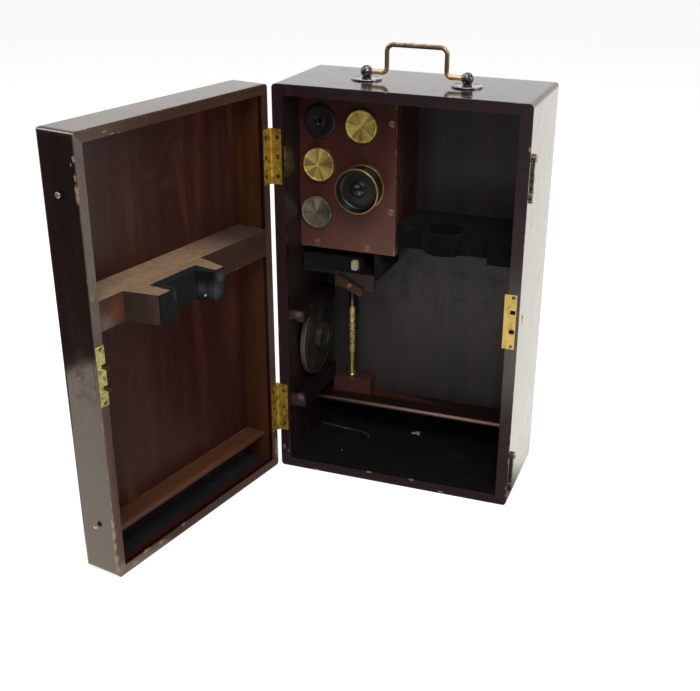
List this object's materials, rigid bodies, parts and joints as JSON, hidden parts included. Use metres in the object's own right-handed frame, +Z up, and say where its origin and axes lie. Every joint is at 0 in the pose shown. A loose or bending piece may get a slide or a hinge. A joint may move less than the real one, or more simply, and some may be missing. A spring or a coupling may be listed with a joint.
{
  "type": "microscope case",
  "caption": "Upright wooden instrument case with a tray-shaped door on butt hinges, accessory rack, box lock, side hooks and carrying handle.",
  "frame": {"origin": "middle of the carcass's underside, on the surface that the case stands on", "axes": "+Z up, -Y out of the case's opening, +X from the hinge side to the lock side"},
  "size_m": [0.3264, 0.3443, 0.4188],
  "materials": {
    "mahogany": "French polished dark mahogany",
    "red_mahogany": "satin red mahogany",
    "pale_mahogany": "worn, dusty mahogany",
    "black_velvet": "black velvet, worn in places",
    "old_brass": "aged brass",
    "lock_brass": "pale brushed brass",
    "can_brass": "lacquered turned brass",
    "dark_bronze": "dark patinated brass",
    "copper_brass": "patinated brass wire, bright at the feet",
    "black_lacquer": "black lacquer",
    "plate_metal": "dark enamel with a worn rim",
    "lens_glass": "polished lens",
    "bone": "aged bone"
  },
  "bodies": {
    "case": {"case_top": "mahogany", "case_bottom": "mahogany", "case_left_side": "mahogany", "case_right_side": "mahogany", "case_back": "mahogany", "floor_lining": "black_velvet", "heel_bar": "mahogany", "tube_bracket": "black_velvet", "bracket_lining": "black_velvet", "rack_front": "red_mahogany", "rack_side": "red_mahogany", "rack_base": "red_mahogany", "rack_rear_guide": "red_mahogany", "rack_screws": "old_brass", "plate_rails": "pale_mahogany", "rod_block": "mahogany", "slip_shelf": "red_mahogany", "slip_hanger": "black_velvet", "hinge_case_leaves": "old_brass", "hinge_pins": "old_brass", "case_screws": "lock_brass", "lock_case": "lock_brass", "keyhole_plate": "old_brass", "handle_rosettes": "dark_bronze", "handle_posts": "dark_bronze", "hook_pivots": "dark_bronze", "turn_button_screw": "old_brass"},
    "door": {"door_panel": "mahogany", "door_top_rail": "mahogany", "door_bottom_rail": "mahogany", "door_hinge_stile": "mahogany", "door_free_stile": "mahogany", "door_cross_rail": "pale_mahogany", "tube_clamp_block": "mahogany", "clamp_lining": "black_velvet", "toe_bar": "mahogany", "door_lining": "black_velvet", "link_plate": "lock_brass", "door_screws": "lock_brass", "hinge_door_leaves": "old_brass", "hook_studs": "dark_bronze"},
    "handle": {"handle_bail": "copper_brass"},
    "upper_hook": {"upper_hook": "dark_bronze"},
    "lower_hook": {"lower_hook": "dark_bronze"},
    "lock_bolt": {"lock_bolt": "old_brass"},
    "upper_can": {"upper_can": "can_brass", "upper_can_cap": "can_brass"},
    "middle_can": {"middle_can": "can_brass", "middle_can_cap": "can_brass"},
    "lower_can": {"lower_can": "can_brass", "lower_can_cap": "can_brass"},
    "small_eyepiece": {"small_eyepiece": "black_lacquer", "small_eyepiece_lens": "lens_glass"},
    "large_eyepiece": {"large_eyepiece": "black_lacquer", "large_eyepiece_lens": "lens_glass"},
    "round_plate": {"round_plate": "plate_metal"},
    "knurled_rod": {"knurled_rod": "old_brass"},
    "slip_box": {"slip_box": "black_lacquer", "slip_box_knob": "bone"},
    "turn_button": {"turn_button": "red_mahogany"}
  },
  "joints": [
    {"name": "door_swing", "type": "hinge", "parent": "case", "child": "door", "pos_m": [-0.1199, -0.0557, 0.193], "axis": [0, 0, -1], "range_deg": [-101.5, 78.5]},
    {"name": "handle_swing", "type": "hinge", "parent": "case", "child": "handle", "pos_m": [0, -0.0035, 0.392], "axis": [1, 0, 0], "range_deg": [-100, 100]},
    {"name": "upper_hook_swing", "type": "hinge", "parent": "case", "child": "upper_hook", "pos_m": [0.1191, -0.0421, 0.337], "axis": [-1, 0, 0], "continuous": true},
    {"name": "lower_hook_swing", "type": "hinge", "parent": "case", "child": "lower_hook", "pos_m": [0.1191, -0.0421, 0.049], "axis": [-1, 0, 0], "continuous": true},
    {"name": "lock_bolt_slide", "type": "slide", "parent": "case", "child": "lock_bolt", "axis": [0, 0, 1], "range_m": [0, 0.005]},
    {"name": "upper_can_pull", "type": "slide", "parent": "case", "child": "upper_can", "axis": [0, -1, 0], "range_m": [0, 0.06]},
    {"name": "middle_can_pull", "type": "slide", "parent": "case", "child": "middle_can", "axis": [0, -1, 0], "range_m": [0, 0.06]},
    {"name": "lower_can_pull", "type": "slide", "parent": "case", "child": "lower_can", "axis": [0, -1, 0], "range_m": [0, 0.06]},
    {"name": "small_eyepiece_pull", "type": "slide", "parent": "case", "child": "small_eyepiece", "axis": [0, -1, 0], "range_m": [0, 0.05]},
    {"name": "large_eyepiece_pull", "type": "slide", "parent": "case", "child": "large_eyepiece", "axis": [0, -1, 0], "range_m": [0, 0.045]},
    {"name": "round_plate_pull", "type": "slide", "parent": "case", "child": "round_plate", "axis": [0, -1, 0], "range_m": [0, 0.09]},
    {"name": "knurled_rod_lift", "type": "slide", "parent": "case", "child": "knurled_rod", "axis": [0, 0, 1], "range_m": [0, 0.02]},
    {"name": "slip_box_pull", "type": "slide", "parent": "case", "child": "slip_box", "axis": [0, -1, 0], "range_m": [0, 0.055]},
    {"name": "turn_button_turn", "type": "hinge", "parent": "case", "child": "turn_button", "pos_m": [-0.0565, -0.0195, 0.191], "axis": [0, -1, 0], "continuous": true}
  ]
}
